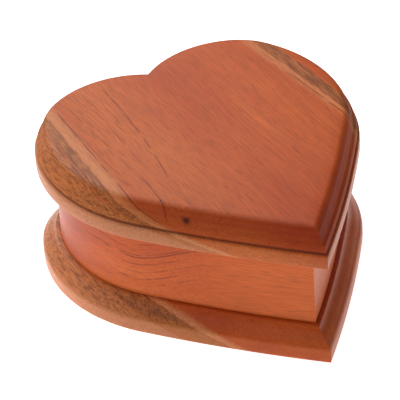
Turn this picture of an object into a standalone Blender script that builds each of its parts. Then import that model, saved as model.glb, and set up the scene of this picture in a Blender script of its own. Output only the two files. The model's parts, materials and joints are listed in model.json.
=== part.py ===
"""A heart-shaped wind-up music box: moulded lid, hollow body, moulded base and an eighteen-note movement.

Lengths are written in millimetres and turned into metres as each mesh is made. +Z is up, the heart's
tip points along -Y and its two lobes along +Y. The origin is under the middle of the box, on the table.
"""

import bmesh
import bpy
import numpy as np
from mathutils import Vector

MM = 0.001
GAP = 0.3  # between pieces that touch

# The heart outline: half of it, as arcs that run clockwise from the cleft to the tip
CLEFT_Y = 78.37
CLEFT_HEADING = np.radians(31.5)  # the outline's direction as it leaves the cleft, from +X
ARCS = ((50.6, 51.6), (36.9, 20.8), (75.1, 89.3))  # (radius, length)
TIP_ARC_RADIUS = 686.0  # the near-straight side, which runs on to the tip
ARC_STEPS = (9, 5, 8, 4)

# Heights of the case
BASE_TOP = 15.0
BODY_LOW = BASE_TOP + GAP
LID_LOW = 51.8
BODY_TOP = LID_LOW - GAP
LID_TOP = 71.2
BODY_INSET = 8.8  # the wall's outer face, inside the lid's outline
WALL = 9.0
CAVITY_INSET = BODY_INSET + WALL

# Moulded edges, as (height, inset) from the bottom up
BASE_EDGE = (
    (0, 0.7),
    (1.2, 0.1),
    (6.0, 0.05),
    (7.6, 0.4),
    (9.0, 1.4),
    (12.0, 4.6),
    (14.6, 6.7),
    (BASE_TOP, 7.1),
)
LID_EDGE = (
    (LID_LOW, 0.9),
    (LID_LOW + 0.9, 0),
    (58.9, 0),
    (59.4, 0.9),
    (61.2, 0.9),
    (63.3, 1.9),
    (64.6, 3.2),
    (68.6, 4.2),
    (70.3, 5.5),
    (LID_TOP, 8.0),
)

# The hinges at the back of the two lobes
HINGE_X = 27.0
HINGE_Y = 79.2
HINGE_Z = LID_LOW - GAP / 2
KNUCKLE_R = 1.9
KNUCKLE_BORE = 1.0
PIN_R = 0.7
LEAF_HALF = 8.0
LEAF_THICK = 0.8
LEAF_FRONT = 69.2
LEAF_OFFSET = 0.3  # from the joint plane to the leaf's nearer face
MID_KNUCKLE = 2.7
END_KNUCKLE = 3.0
HINGE_SCREW_X = 5.0
HINGE_SCREW_Y = 72.6
HINGE_SCREW_LENGTH = 6.0

# Inside the body
DIVIDER_Y = (2.0, 6.0)
DIVIDER_TOP = 48.2
COVER_Z = (45.0, 47.0)
CLEAT_LOW = 41.0
LINING_THICK = 1.2

# The movement. SPRING_X, SPRING_Y is the winding axis; the cylinder's axis runs along X
SPRING_X, SPRING_Y = 0.0, 30.0
PLATE_Z = (BASE_TOP + GAP, BASE_TOP + GAP + 2.0)
PLATE_X = (-14.5, 39.5)
PLATE_Y = (10.0, 50.0)
PITCH_RADIUS = 12.5  # the crown gear's
CROWN_TEETH, CROWN_PINION_TEETH = 48, 24
WHEEL_Z = (PLATE_Z[1] + 0.4, PLATE_Z[1] + 1.6)
CROWN_PITCH_Z = WHEEL_Z[1] + 0.75
PINION_RADIUS = PITCH_RADIUS * CROWN_PINION_TEETH / CROWN_TEETH
CYLINDER_Z = CROWN_PITCH_Z + PINION_RADIUS
PINION_X = SPRING_X + PITCH_RADIUS
DRUM_X = (PINION_X + 1.5, PINION_X + 18.5)
DRUM_RADIUS = 6.0
PIN_HEIGHT = 0.7
PIN_HALF = 0.17
TRACKS = 18
BEATS = 54  # places round the drum where a pin may stand
TRACK_PITCH = 0.9
TRACK_START = DRUM_X[0] + 0.85
ARBOR_RADIUS = 1.2
END_GEAR_X = (DRUM_X[1] + 0.5, DRUM_X[1] + 1.7)
MODULE = 0.34
ADDENDUM, DEDENDUM = 0.3, 0.42
END_GEAR_TEETH, GOVERNOR_PINION_TEETH = 36, 9
GOVERNOR_Y = SPRING_Y - MODULE * (END_GEAR_TEETH + GOVERNOR_PINION_TEETH) / 2
WORM_WHEEL_TEETH = 20
WORM_PITCH = 1.0
WORM_RADIUS = 1.0
WORM_WHEEL_RADIUS = WORM_WHEEL_TEETH * WORM_PITCH / (2 * np.pi)
WORM_WHEEL_X = END_GEAR_X[1] + 1.4
WORM_Y = GOVERNOR_Y - WORM_WHEEL_RADIUS - WORM_RADIUS
FAN_Z = (31.6, 35.2)
FAN_RADIUS = 3.9
WINDING_RADIUS = 1.6
HOUSING_RADIUS = 10.8
BOSS_HALF = 2.6  # the boss on the housing that holds the cylinder's arbor
HOUSING_Z = (WHEEL_Z[1] + 0.4, 31.3)
COMB_TIP_GAP = 0.25
COMB_Z = (CYLINDER_Z - 0.35, CYLINDER_Z + 0.35)
COMB_Y = (42.0, 48.8)
COMB_SCREWS_X = (17.0, 28.0)
COMB_SCREWS_Y = 46.0
MOVEMENT_SCREWS = ((-11.8, 12.7), (-11.8, 47.3), (36.3, 46.8))
ROD_X, ROD_Y = 37.6, 13.2
ROD_RADIUS = 1.0

# The winding key's recess under the base
RECESS_RADIUS = 16.2
RECESS_TOP = 9.0
KEY_SPAN = 27.0
KEY_Z = (0.8, 6.6)

# Holes for the screws, as radii
MOVEMENT_SCREW_HOLE = 1.9
COUNTERBORE_RADIUS, COUNTERBORE_TOP = 3.2, 4.4
PILOT_RADIUS, PILOT_DEPTH = 1.1, 8.6

# The strips that carry the movement's cover
FRONT_CLEAT_HALF, CLEAT_WIDTH = 46.0, 2.6
SIDE_CLEAT_Y, SIDE_CLEAT_WIDTH = (22.0, 32.0), 3.4


def heart_half(inset, steps=ARC_STEPS):
    """Points of the right half of the outline, moved inwards by inset, from the cleft to the tip."""
    at, heading = np.array([0.0, CLEFT_Y]), CLEFT_HEADING
    centres = []
    for radius, length in ARCS + ((TIP_ARC_RADIUS, 0.0),):
        centre = at + radius * np.array([np.sin(heading), -np.cos(heading)])
        end = heading - length / radius
        centres.append((centre, radius - inset, heading, end))
        at = centre + radius * np.array([-np.sin(end), np.cos(end)])
        heading = end
    first, last = centres[0], centres[-1]
    start = np.arcsin(first[0][0] / first[1])
    finish = -np.pi + np.arcsin(last[0][0] / -last[1])
    centres[0] = (first[0], first[1], start, first[3])
    centres[-1] = (last[0], last[1], last[2], finish)
    points = []
    for (centre, radius, begin, end), count in zip(centres, steps):
        angles = np.linspace(begin, end, count + 1)[:-1]
        points += [centre + radius * np.array([-np.sin(a), np.cos(a)]) for a in angles]
    centre, radius, _, end = centres[-1]
    points.append(centre + radius * np.array([-np.sin(end), np.cos(end)]))
    points[0][0] = points[-1][0] = 0.0
    return points


def heart(inset, z):
    """A closed loop at height z, counter-clockwise as seen from above."""
    half = heart_half(inset)
    left = [(-x, y, z) for x, y in half[1:-1]]
    return left + [(x, y, z) for x, y in reversed(half)]


def loft(loops, ring=False):
    """A shape made of equal loops joined in turn. It has flat ends, or it is a ring with none."""

    def fill(bm):
        rows = [[bm.verts.new(Vector(p) * MM) for p in loop] for loop in loops]
        pairs = list(zip(rows, rows[1:] + rows[:1])) if ring else list(zip(rows, rows[1:]))
        for low, high in pairs:
            for i in range(len(low)):
                j = (i + 1) % len(low)
                bm.faces.new((low[i], low[j], high[j], high[i]))
        if not ring:
            bm.faces.new(reversed(rows[0]))
            bm.faces.new(rows[-1])

    return fill


def placed(points, axis, along):
    """Flat points set at a distance along an axis: X takes (y, z), Y takes (z, x) and Z takes (x, y)."""
    turn = {"X": lambda a, b: (along, a, b), "Y": lambda a, b: (b, along, a), "Z": lambda a, b: (a, b, along)}
    return [turn[axis](a, b) for a, b in points]


def prism(points, low, high, axis="Z"):
    """A straight extrusion of a counter-clockwise outline."""
    return loft([placed(points, axis, low), placed(points, axis, high)])


def box(x, y, z):
    corners = ((x[0], y[0]), (x[1], y[0]), (x[1], y[1]), (x[0], y[1]))
    return prism(corners, z[0], z[1])


def circle(radius, segments, centre=(0, 0), phase=0.0):
    turns = 2 * np.pi * (np.arange(segments) + phase) / segments
    return [(centre[0] + radius * np.cos(a), centre[1] + radius * np.sin(a)) for a in turns]


def rod(radius, low, high, centre, axis="Z", segments=24):
    return prism(circle(radius, segments, centre), low, high, axis)


def turned(profile, centre, axis="Z", segments=32):
    """A solid of revolution of a closed profile of (radius, distance along the axis) that misses the axis."""
    return loft([placed(circle(r, segments, centre), axis, a) for r, a in profile], ring=True)


def tube(outer, inner, low, high, centre, axis="Z", segments=24):
    return turned(((outer, low), (outer, high), (inner, high), (inner, low)), centre, axis, segments)


def gear_outline(teeth, pitch_radius, tip, root, width, phase=0.0):
    """A toothed outline with straight-sided teeth.

    width is a tooth's share of the pitch, and phase turns the outline by a number of pitches.
    """
    points = []
    step = 2 * np.pi / teeth
    for k in range(teeth):
        middle = (k + phase) * step
        for radius, half in ((root, 0.62), (tip, 0.34), (tip, -0.34), (root, -0.62)):
            angle = middle - half * width * step
            points.append((pitch_radius * radius * np.cos(angle), pitch_radius * radius * np.sin(angle)))
    return points


def shifted(points, centre):
    return [(a + centre[0], b + centre[1]) for a, b in points]


def finish_of(name, colour, roughness, metallic=0.0, alpha=1.0):
    material = bpy.data.materials.new(name)
    material.use_nodes = True
    shader = material.node_tree.nodes["Principled BSDF"]
    shader.inputs["Base Color"].default_value = (*colour, 1)
    shader.inputs["Roughness"].default_value = roughness
    shader.inputs["Metallic"].default_value = metallic
    shader.inputs["Alpha"].default_value = alpha
    return material


def mesh_object(name, shapes, origin):
    bm = bmesh.new()
    for shape in shapes:
        shape(bm)
    bmesh.ops.recalc_face_normals(bm, faces=bm.faces)
    bmesh.ops.translate(bm, verts=bm.verts, vec=-Vector(origin) * MM)
    mesh = bpy.data.meshes.new(name)
    bm.to_mesh(mesh)
    bm.free()
    made = bpy.data.objects.new(name, mesh)
    made.location = Vector(origin) * MM
    bpy.context.scene.collection.objects.link(made)
    return made


def piece(name, finish, shape, joined=(), cuts=(), axis=None):
    """One named sub-part: a shape, with others joined to it or cut from it.

    axis is the empty that a moving piece turns about or slides along.
    """
    origin = Vector((0, 0, 0)) if axis is None else axis.location / MM
    made = mesh_object(name, [shape], origin)
    made.data.materials.append(finish)
    made.data.shade_smooth()
    made.data.set_sharp_from_angle(angle=np.radians(35))
    for label, others, operation in (("joined", joined, "UNION"), ("cut", cuts, "DIFFERENCE")):
        for i, other in enumerate(others):
            shapes = other if isinstance(other, list) else [other]
            helper = mesh_object(f"{name}_{label}_{i + 1}", shapes, origin)
            helper.hide_render = True
            helper.display_type = "WIRE"
            boolean = made.modifiers.new(label, "BOOLEAN")
            boolean.operation = operation
            boolean.solver = "EXACT"
            boolean.object = helper
            if axis is not None:
                helper.parent = axis
                helper.location = (0, 0, 0)
    if axis is not None:
        made.parent = axis
        made.location = (0, 0, 0)
    return made


def joint_axis(name, at):
    empty = bpy.data.objects.new(name, None)
    empty.location = Vector(at) * MM
    bpy.context.scene.collection.objects.link(empty)
    return empty


def make_case(wood, felt, acrylic, brass, lid_axis):
    recess = rod(RECESS_RADIUS, -1, RECESS_TOP, (SPRING_X, SPRING_Y), segments=40)
    arbor_hole = rod(WINDING_RADIUS + 0.9, RECESS_TOP - 1, BASE_TOP + 1, (SPRING_X, SPRING_Y))
    screw_holes = [rod(MOVEMENT_SCREW_HOLE, -1, BASE_TOP + 1, at, segments=16) for at in MOVEMENT_SCREWS]
    counterbores = [rod(COUNTERBORE_RADIUS, -1, COUNTERBORE_TOP, at, segments=16) for at in MOVEMENT_SCREWS]
    base = loft([heart(inset, z) for z, inset in BASE_EDGE])
    piece("base_board", wood, base, cuts=[recess, arbor_hole, screw_holes, counterbores])

    walls = (
        (BODY_INSET, BODY_LOW),
        (BODY_INSET, BODY_TOP),
        (CAVITY_INSET, BODY_TOP),
        (CAVITY_INSET, BODY_LOW),
    )
    leaf_seats, lid_seats, pilot_low, pilot_high = [], [], [], []
    for side in (-1, 1):
        x = (side * HINGE_X - LEAF_HALF - GAP, side * HINGE_X + LEAF_HALF + GAP)
        leaf = LEAF_OFFSET + LEAF_THICK + GAP
        leaf_seats.append(box(x, (LEAF_FRONT - GAP, HINGE_Y + 6), (HINGE_Z - leaf, LID_LOW + 2)))
        lid_seats.append(box(x, (LEAF_FRONT - GAP, HINGE_Y), (LID_LOW - 2, HINGE_Z + leaf)))
        lid_seats.append(box(x, (HINGE_Y - 2.3, HINGE_Y + 2.3), (LID_LOW - 2.1, HINGE_Z + KNUCKLE_R + 0.5)))
        for step in (-1, 1):
            at = (side * HINGE_X + step * HINGE_SCREW_X, HINGE_SCREW_Y)
            pilot_low.append(rod(PILOT_RADIUS, HINGE_Z - PILOT_DEPTH, HINGE_Z, at, segments=10))
            pilot_high.append(rod(PILOT_RADIUS, HINGE_Z, HINGE_Z + PILOT_DEPTH, at, segments=10))
    ring = loft([heart(inset, z) for inset, z in walls], ring=True)
    piece("body_ring", wood, ring, cuts=[leaf_seats, pilot_low])
    lid = loft([heart(inset, z) for z, inset in LID_EDGE])
    flat_seats, barrel_seats = lid_seats[0::2], lid_seats[1::2]
    piece("lid", wood, lid, cuts=[flat_seats, barrel_seats, pilot_high], axis=lid_axis)

    half = cavity_width(DIVIDER_Y[0]) - GAP - 0.1
    piece("divider", wood, box((-half, half), DIVIDER_Y, (BODY_LOW, DIVIDER_TOP)))
    cleat_top = COVER_Z[0] - GAP
    front = (DIVIDER_Y[1] + GAP, DIVIDER_Y[1] + GAP + CLEAT_WIDTH)
    cleat = box((-FRONT_CLEAT_HALF, FRONT_CLEAT_HALF), front, (CLEAT_LOW, cleat_top))
    piece("cover_cleat_front", wood, cleat)
    wall_x = cavity_width(SIDE_CLEAT_Y[1]) - 3 * GAP
    for side, word in ((-1, "left"), (1, "right")):
        x = sorted((side * wall_x, side * (wall_x - SIDE_CLEAT_WIDTH)))
        piece(f"cover_cleat_{word}", wood, box(x, SIDE_CLEAT_Y, (CLEAT_LOW, cleat_top)))

    edge = clipped(CAVITY_INSET + GAP + 0.1, lowest=DIVIDER_Y[1] + GAP)
    piece("movement_cover", acrylic, prism(edge, *COVER_Z), cuts=[rod(2.9, 40, 50, (ROD_X, ROD_Y))])
    floor = clipped(CAVITY_INSET + 0.5, highest=DIVIDER_Y[0] - 0.4)
    piece("compartment_lining", felt, prism(floor, BODY_LOW, BODY_LOW + LINING_THICK))
    rim_low, rim_top, bush_low = COVER_Z[1] + GAP, COVER_Z[1] + 1.2, COVER_Z[0] - 2.6
    bush = (
        (2.6, bush_low),
        (2.6, rim_low),
        (3.9, rim_low),
        (3.9, rim_top),
        (ROD_RADIUS + GAP, rim_top),
        (ROD_RADIUS + GAP, bush_low),
    )
    piece("stop_guide", brass, turned(bush, (ROD_X, ROD_Y), segments=20))


def cavity_width(y):
    """Half the width of the hollow at a distance y, on its wider side."""
    points = np.array(heart_half(CAVITY_INSET))
    side = points[points[:, 0].argmax() :]
    return float(np.interp(y, side[::-1, 1], side[::-1, 0]))


def clipped(inset, lowest=-1e3, highest=1e3):
    """The heart outline cut off straight across, in front of lowest or behind highest."""
    loop = [(x, y) for x, y, _ in heart(inset, 0)]
    kept = []
    for (x, y), (x2, y2) in zip(loop, loop[1:] + loop[:1]):
        if lowest <= y <= highest:
            kept.append((x, y))
        for limit in (lowest, highest):
            if (y - limit) * (y2 - limit) < 0:
                share = (limit - y) / (y2 - y)
                kept.append((x + share * (x2 - x), limit))
    return kept


def make_hinges(brass, steel, lid_axis):
    number = 0
    for side, word in ((-1, "left"), (1, "right")):
        middle = side * HINGE_X
        centre = (HINGE_Y, HINGE_Z)
        plate_back = HINGE_Y - KNUCKLE_R - 0.35
        tongue = (plate_back - 0.5, HINGE_Y - KNUCKLE_BORE - 0.3)
        ends = ((-LEAF_HALF, -END_KNUCKLE), (END_KNUCKLE, LEAF_HALF))
        for leaf, sign, spans in (("body", -1, ends), ("lid", 1, ((-MID_KNUCKLE, MID_KNUCKLE),))):
            z = sorted((HINGE_Z + sign * LEAF_OFFSET, HINGE_Z + sign * (LEAF_OFFSET + LEAF_THICK)))
            axis = lid_axis if leaf == "lid" else None
            plate = box((middle - LEAF_HALF, middle + LEAF_HALF), (LEAF_FRONT, plate_back), z)
            tongues = [box((middle + a + 0.05, middle + b - 0.05), tongue, z) for a, b in spans]
            knuckles = [
                tube(KNUCKLE_R, KNUCKLE_BORE, middle + a, middle + b, centre, "X", 16) for a, b in spans
            ]
            holes = [
                rod(1.7, z[0] - 1, z[1] + 1, (middle + step * HINGE_SCREW_X, HINGE_SCREW_Y), segments=14)
                for step in (-1, 1)
            ]
            name = f"hinge_{leaf}_leaf_{word}"
            piece(name, brass, plate, joined=[tongues, knuckles], cuts=[holes], axis=axis)
            for step in (-1, 1):
                number += 1
                at = (middle + step * HINGE_SCREW_X, HINGE_SCREW_Y)
                face = HINGE_Z + sign * LEAF_OFFSET
                ends_z = [face + sign * d for d in (0.1, 1.0, HINGE_SCREW_LENGTH)]
                head = rod(1.4, *sorted(ends_z[:2]), at, segments=14)
                shank = rod(0.75, *sorted((ends_z[0] + sign * 0.4, ends_z[2])), at, segments=10)
                slot_z = sorted((face, face + sign * 0.45))
                slot = box((at[0] - 2, at[0] + 2), (at[1] - 0.2, at[1] + 0.2), slot_z)
                piece(f"hinge_screw_{number}", brass, head, joined=[shank], cuts=[slot], axis=axis)
        pin = rod(PIN_R, middle - LEAF_HALF - 0.2, middle + LEAF_HALF + 0.2, centre, "X", 14)
        piece(f"hinge_pin_{word}", steel, pin)


def make_bedplate(cast):
    plate = box(PLATE_X, PLATE_Y, PLATE_Z)
    screw_posts = [rod(3.1, PLATE_Z[1] - 0.5, PLATE_Z[1] + 3, at, segments=20) for at in MOVEMENT_SCREWS]
    comb_block = box(
        (DRUM_X[0] + 0.3, DRUM_X[1] + 0.6),
        (COMB_Y[0] + 0.3, COMB_Y[1] + 0.4),
        (PLATE_Z[1] - 0.5, COMB_Z[0] - GAP),
    )
    rod_post = rod(2.4, PLATE_Z[1] - 0.5, PLATE_Z[1] + 5.7, (ROD_X, ROD_Y - 0.5), segments=20)
    # Bores: the winding arbor, three screws from below, the stop rod and the comb's two screws
    bores = [rod(WINDING_RADIUS + 0.4, 10, 20, (SPRING_X, SPRING_Y))]
    bores += [rod(1.8, 10, 25, at, segments=16) for at in MOVEMENT_SCREWS]
    bores.append(rod(1.3, 10, 25, (ROD_X, ROD_Y), segments=16))
    comb_bores = [
        rod(1.1, COMB_Z[0] - 6, COMB_Z[0] + 1, (x, COMB_SCREWS_Y), segments=12) for x in COMB_SCREWS_X
    ]
    piece("bedplate", cast, plate, joined=[screw_posts, comb_block, rod_post], cuts=[bores, comb_bores])


def make_spring_drive(brass, steel, cast, wheel_axis, key_axis):
    centre = (SPRING_X, SPRING_Y)
    low, high = HOUSING_Z
    inner = HOUSING_RADIUS - 0.7
    bore = WINDING_RADIUS + 0.4
    cup = (
        (HOUSING_RADIUS, low),
        (HOUSING_RADIUS, high - 0.8),
        (HOUSING_RADIUS - 0.8, high),
        (bore, high),
        (bore, high - 0.8),
        (inner, high - 0.8),
        (inner, low),
    )
    arms, legs = [], []
    for side in (-1, 1):
        reach = sorted((SPRING_Y + side * (HOUSING_RADIUS - 0.35), SPRING_Y + side * 17.0))
        foot = sorted((SPRING_Y + side * 14.6, SPRING_Y + side * 17.0))
        arms.append(box((-3, 3), reach, (low + 2.4, low + 3.8)))
        legs.append(box((-3.4, 3.4), foot, (PLATE_Z[1] + GAP, low + 4.2)))
    boss = box(
        (SPRING_X + HOUSING_RADIUS - 0.5, PINION_X - 1.25),
        (SPRING_Y - BOSS_HALF, SPRING_Y + BOSS_HALF),
        (CYLINDER_Z - BOSS_HALF, CYLINDER_Z + BOSS_HALF),
    )
    socket = rod(ARBOR_RADIUS + GAP, SPRING_X + HOUSING_RADIUS - 2, PINION_X, (SPRING_Y, CYLINDER_Z), "X", 16)
    piece("spring_housing", cast, turned(cup, centre, segments=40), joined=[arms, legs, boss], cuts=[socket])

    ribbon = spiral(WINDING_RADIUS + 0.5, inner - 0.5, turns=6, thickness=0.45, centre=centre)
    piece("mainspring", steel, prism(ribbon, low + 0.6, high - 1.4))

    tooth_low = WHEEL_Z[1] - 0.3
    disc = tube(PITCH_RADIUS + 0.8, WINDING_RADIUS + 0.3, *WHEEL_Z, centre, segments=48)
    teeth = []
    step = 2 * np.pi / CROWN_TEETH
    for k in range(CROWN_TEETH):
        angle = (k + 0.5) * step
        out = np.array([np.cos(angle), np.sin(angle)])
        side = np.array([-out[1], out[0]])
        loops = []
        for z, half in ((tooth_low, 0.32), (WHEEL_Z[1], 0.32), (CROWN_PITCH_Z + 0.5, 0.17)):
            section = ((-0.8, -half), (0.7, -half), (0.7, half), (-0.8, half))
            corners = [out * (PITCH_RADIUS + r) + side * s for r, s in section]
            loops.append([(centre[0] + x, centre[1] + y, z) for x, y in corners])
        teeth.append(loft(loops))
    piece("great_wheel", brass, disc, joined=[teeth], axis=wheel_axis)

    shaft = rod(WINDING_RADIUS, 3.2, high + 0.8, centre, segments=20)
    piece("winding_arbor", steel, shaft, axis=key_axis)
    hub = tube(3.2, WINDING_RADIUS + GAP, *KEY_Z, centre, segments=24)
    wings = []
    for side in (-1, 1):
        x = np.array([2.6, 4.4, 7.2, 10.4, 12.6, 13.5, 12.9, 10.6, 7.0, 4.2, 2.6])
        z = np.array([0.75, 0.95, 0.1, 0.0, 0.7, 2.6, 4.7, 5.7, 5.6, 4.5, 4.4])
        flat = [(SPRING_X + side * a, KEY_Z[0] + 0.02 + b) for a, b in zip(x * KEY_SPAN / 27, z)]
        flat = flat if side > 0 else flat[::-1]
        wings.append(loft([[(a, SPRING_Y + d, b) for a, b in flat] for d in (0.65, -0.65)]))
    piece("winding_key", brass, hub, joined=[wings], axis=key_axis)


def spiral(inner, outer, turns, thickness, centre):
    """The outline of a flat ribbon wound from inner to outer."""
    angles = np.linspace(0, 2 * np.pi * turns, turns * 22 + 1)
    radii = np.linspace(inner, outer - thickness, len(angles))
    turns_out = np.stack([np.cos(angles), np.sin(angles)], axis=1)
    near = np.array(centre) + radii[:, None] * turns_out
    far = near + thickness * turns_out
    return [tuple(p) for p in far] + [tuple(p) for p in near[::-1]]


def make_cylinder(brass, steel, axis):
    centre = (SPRING_Y, CYLINDER_Z)
    drum = rod(DRUM_RADIUS, *DRUM_X, centre, "X", 40)
    tip, root = 1 + 0.45 / PINION_RADIUS, 1 - 0.75 / PINION_RADIUS
    pinion = gear_outline(CROWN_PINION_TEETH, PINION_RADIUS, tip, root, 0.36)
    pinion = prism(shifted(pinion, centre), PINION_X - 0.7, PINION_X + 0.7, "X")
    hub = rod(3.6, PINION_X + 0.2, DRUM_X[0] + 1, centre, "X", 24)
    pitch_radius = MODULE * END_GEAR_TEETH / 2
    tip, root = 1 + ADDENDUM / pitch_radius, 1 - DEDENDUM / pitch_radius
    gear = gear_outline(END_GEAR_TEETH, pitch_radius, tip, root, 0.37, 0.5)
    gear = prism(shifted(gear, centre), *END_GEAR_X, "X")
    gear_hub = rod(3.6, DRUM_X[1] - 1, END_GEAR_X[0] + 0.4, centre, "X", 24)
    bore = rod(ARBOR_RADIUS + GAP, PINION_X - 3, END_GEAR_X[1] + 3, centre, "X", 20)
    turned_parts = [drum_pins(centre), hub, pinion, gear_hub, gear]
    piece("cylinder", brass, drum, joined=turned_parts, cuts=[bore], axis=axis)
    piece("cylinder_arbor", steel, rod(ARBOR_RADIUS, PINION_X - 2.4, WORM_WHEEL_X + 4.4, centre, "X", 16))


def drum_pins(centre):
    """Three pins on each of the drum's tracks, in a scattered pattern that spells no known tune."""
    pins = []
    for track in range(TRACKS):
        x = TRACK_START + track * TRACK_PITCH
        for note in range(3):
            beat = (track * 7 + note * 19 + track * note * 3) % BEATS
            angle = 2 * np.pi * (beat + 0.5) / BEATS
            out = np.array([np.cos(angle), np.sin(angle)])
            side = np.array([-out[1], out[0]])
            foot, head = DRUM_RADIUS - 0.4, DRUM_RADIUS + PIN_HEIGHT
            section = ((foot, -PIN_HALF), (head, -PIN_HALF), (head, PIN_HALF), (foot, PIN_HALF))
            corners = [out * r + side * s for r, s in section]
            pins.append(prism(shifted(corners, centre), x - PIN_HALF, x + PIN_HALF, "X"))
    return pins


def make_comb(steel, brass):
    tip = SPRING_Y + DRUM_RADIUS + PIN_HEIGHT + COMB_TIP_GAP
    right = TRACK_START + (TRACKS - 1) * TRACK_PITCH + 0.75
    left = TRACK_START - 0.75
    outline = [(right, COMB_Y[1]), (left, COMB_Y[1]), (left, COMB_Y[0])]
    for track in range(TRACKS):
        x = TRACK_START + track * TRACK_PITCH
        root = COMB_Y[0] - 1.6 + 1.4 * track / TRACKS
        outline += [(x - 0.3, root), (x - 0.2, tip), (x + 0.2, tip), (x + 0.3, root)]
    outline.append((right, COMB_Y[0]))
    screws = [(x, COMB_SCREWS_Y) for x in COMB_SCREWS_X]
    holes = [rod(1.3, COMB_Z[0] - 1, COMB_Z[1] + 1, at, segments=14) for at in screws]
    piece("comb", steel, prism(outline, *COMB_Z), cuts=[holes])
    for i, at in enumerate(screws):
        head = rod(2.0, COMB_Z[1] + GAP, COMB_Z[1] + 1.6, at, segments=18)
        shank = rod(0.8, COMB_Z[0] - 4.5, COMB_Z[1] + 1.0, at, segments=12)
        slot = box((at[0] - 3, at[0] + 3), (at[1] - 0.3, at[1] + 0.3), (COMB_Z[1] + 1.0, COMB_Z[1] + 3))
        piece(f"comb_screw_{i + 1}", brass, head, joined=[shank], cuts=[slot])


def make_governor(brass, steel, plastic, wheel_axis, fan_axis):
    centre = (GOVERNOR_Y, CYLINDER_Z)
    pitch_radius = MODULE * GOVERNOR_PINION_TEETH / 2
    tip, root = 1 + ADDENDUM / pitch_radius, 1 - DEDENDUM / pitch_radius
    pinion = gear_outline(GOVERNOR_PINION_TEETH, pitch_radius, tip, root, 0.37)
    pinion = prism(shifted(pinion, centre), END_GEAR_X[0] - 0.1, END_GEAR_X[1] + 0.1, "X")
    tip, root = 1 + ADDENDUM / WORM_WHEEL_RADIUS, 1 - DEDENDUM / WORM_WHEEL_RADIUS
    wheel = gear_outline(WORM_WHEEL_TEETH, WORM_WHEEL_RADIUS, tip, root, 0.32)
    wheel = prism(shifted(wheel, centre), WORM_WHEEL_X - 0.4, WORM_WHEEL_X + 0.4, "X")
    axle = rod(0.6, END_GEAR_X[0] - 0.6, WORM_WHEEL_X + 3.8, centre, "X", 12)
    piece("governor_wheel", plastic, wheel, joined=[pinion, axle], axis=wheel_axis)

    at = (WORM_WHEEL_X, WORM_Y)
    spindle = rod(0.65, PLATE_Z[1] + 2.4, FAN_Z[1] + 1.0, at, segments=12)
    worm = worm_thread(at, CYLINDER_Z - 2.75 * WORM_PITCH, CYLINDER_Z + 2.75 * WORM_PITCH)
    hub = rod(1.5, FAN_Z[0] - 0.3, FAN_Z[1], at, segments=16)
    vane = box((at[0] - FAN_RADIUS, at[0] + FAN_RADIUS), (at[1] - 0.25, at[1] + 0.25), FAN_Z)
    piece("governor_fan", steel, spindle, joined=[worm, hub, vane], axis=fan_axis)

    front = PLATE_Y[0] + GAP
    left, right = WORM_WHEEL_X - 3.2, WORM_WHEEL_X + 3.4
    arm_low, arm_top = FAN_Z[1] + 0.6, FAN_Z[1] + 1.9
    foot_low = PLATE_Z[1] + GAP
    foot = box((left, right), (front, WORM_Y + 2.2), (foot_low, PLATE_Z[1] + 1.8))
    post = box((right - 1.8, right), (WORM_Y - 1.2, SPRING_Y + 2.4), (foot_low, CYLINDER_Z + 2.6))
    mast = box((left, left + 1.6), (front, front + 2.2), (PLATE_Z[1] + 1, arm_top))
    arm = box((left, WORM_WHEEL_X + 1.3), (front, WORM_Y + 1.3), (arm_low, arm_top))
    bores = [
        rod(0.9, PLATE_Z[1] - 1, PLATE_Z[1] + 4, at, segments=14),
        rod(0.9, FAN_Z[1] - 1, FAN_Z[1] + 4, at, segments=14),
        rod(0.9, WORM_WHEEL_X + 1, WORM_WHEEL_X + 5, centre, "X", 14),
        rod(ARBOR_RADIUS + GAP, WORM_WHEEL_X + 1, WORM_WHEEL_X + 5, (SPRING_Y, CYLINDER_Z), "X", 16),
    ]
    rod_room = rod(2.8, 10, 30, (ROD_X, ROD_Y - 0.5), segments=20)
    piece("governor_bracket", brass, foot, joined=[post, mast, arm], cuts=[bores, rod_room])


def worm_thread(at, low, high):
    """A right-handed ridge of one start round the worm's spindle."""
    turns = (high - low) / WORM_PITCH
    steps = int(turns * 14)
    loops = []
    for k in range(steps + 1):
        angle = 2 * np.pi * turns * k / steps
        # The ridge passes midway between two wheel teeth where it faces the wheel, along +Y
        z = low + WORM_PITCH * (angle / (2 * np.pi))
        out = (np.cos(angle), np.sin(angle))
        section = ((0.4, -0.2), (WORM_RADIUS + 0.3, -0.1), (WORM_RADIUS + 0.3, 0.1), (0.4, 0.2))
        loops.append([(at[0] + out[0] * r, at[1] + out[1] * r, z + d) for r, d in section])
    return loft(loops)


def make_stop_rod(steel, axis):
    low = PLATE_Z[1] + 0.4
    shaft = rod(ROD_RADIUS, low, LID_LOW - 0.35, (ROD_X, ROD_Y), segments=16)
    finger_z = (FAN_Z[0] + 1.2, FAN_Z[0] + 2.2)
    towards = np.array([WORM_WHEEL_X - ROD_X, WORM_Y - ROD_Y])
    distance = float(np.hypot(*towards))
    towards /= distance
    side = np.array([-towards[1], towards[0]])
    reach = distance - FAN_RADIUS - 0.5
    corners = [towards * a + side * b for a, b in ((0, -0.45), (reach, -0.45), (reach, 0.45), (0, 0.45))]
    finger = prism([(ROD_X + x, ROD_Y + y) for x, y in corners], *finger_z)
    piece("stop_rod", steel, shaft, joined=[finger], axis=axis)


def make_movement_screws(steel):
    for i, at in enumerate(MOVEMENT_SCREWS):
        head = rod(2.7, 2.2, 4.1, at, segments=20)
        shank = rod(1.5, 3.5, PLATE_Z[1] + 2.6, at, segments=14)
        slot = box((at[0] - 4, at[0] + 4), (at[1] - 0.35, at[1] + 0.35), (1, 2.9))
        piece(f"movement_screw_{i + 1}", steel, head, joined=[shank], cuts=[slot])


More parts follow.
